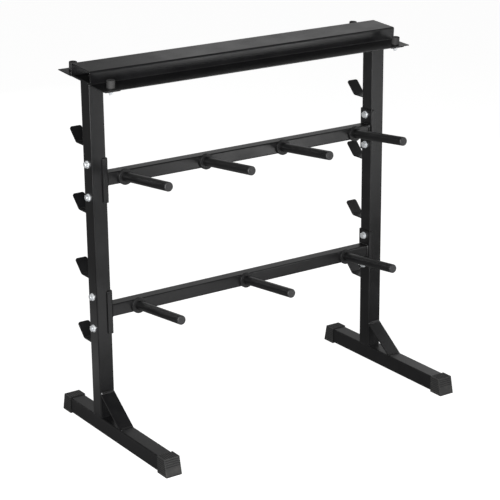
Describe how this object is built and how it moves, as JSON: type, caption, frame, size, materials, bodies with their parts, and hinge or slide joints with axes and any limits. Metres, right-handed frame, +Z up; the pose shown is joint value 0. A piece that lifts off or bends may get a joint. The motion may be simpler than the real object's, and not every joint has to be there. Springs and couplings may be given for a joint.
{
  "type": "dumbbell rack",
  "caption": "Free-standing rack with a raised-centre dumbbell tray on top, tilted plate pegs on cross beams and bar hooks up the back of its uprights.",
  "frame": {"origin": "on the floor at the middle of the footprint of the foot caps", "axes": "+X along the cross beams, -Y the front that the pegs point to, +Z up"},
  "size_m": [1.124, 0.635, 1.1634],
  "materials": {
    "powder_coat": "semi-gloss black powder coat",
    "rubber": "matte moulded black rubber",
    "plug_plastic": "moulded black polyethylene, fine texture",
    "zinc": "bright zinc plate"
  },
  "bodies": {
    "root": {"frame_bolts": "zinc", "frame_nuts": "zinc", "frame_washers": "zinc", "left_foot": "powder_coat", "left_front_foot_cap": "rubber", "left_front_stop_post": "rubber", "left_gusset": "powder_coat", "left_hook_1": "powder_coat", "left_hook_2": "powder_coat", "left_hook_3": "powder_coat", "left_hook_4": "powder_coat", "left_rear_foot_cap": "rubber", "left_rear_stop_post": "rubber", "left_top_plate": "powder_coat", "left_upright": "powder_coat", "lower_beam": "powder_coat", "lower_left_bracket": "powder_coat", "lower_peg_1": "powder_coat", "lower_peg_2": "powder_coat", "lower_peg_3": "powder_coat", "lower_peg_collar_1": "powder_coat", "lower_peg_collar_2": "powder_coat", "lower_peg_collar_3": "powder_coat", "lower_peg_plug_1": "plug_plastic", "lower_peg_plug_2": "plug_plastic", "lower_peg_plug_3": "plug_plastic", "lower_right_bracket": "powder_coat", "right_foot": "powder_coat", "right_front_foot_cap": "rubber", "right_front_stop_post": "rubber", "right_gusset": "powder_coat", "right_hook_1": "powder_coat", "right_hook_2": "powder_coat", "right_hook_3": "powder_coat", "right_hook_4": "powder_coat", "right_rear_foot_cap": "rubber", "right_rear_stop_post": "rubber", "right_top_plate": "powder_coat", "right_upright": "powder_coat", "tray": "powder_coat", "tray_nuts": "zinc", "tray_studs": "zinc", "tray_washers": "zinc", "upper_beam": "powder_coat", "upper_left_bracket": "powder_coat", "upper_peg_1": "powder_coat", "upper_peg_2": "powder_coat", "upper_peg_3": "powder_coat", "upper_peg_4": "powder_coat", "upper_peg_collar_1": "powder_coat", "upper_peg_collar_2": "powder_coat", "upper_peg_collar_3": "powder_coat", "upper_peg_collar_4": "powder_coat", "upper_peg_plug_1": "plug_plastic", "upper_peg_plug_2": "plug_plastic", "upper_peg_plug_3": "plug_plastic", "upper_peg_plug_4": "plug_plastic", "upper_right_bracket": "powder_coat"}
  },
  "joints": []
}
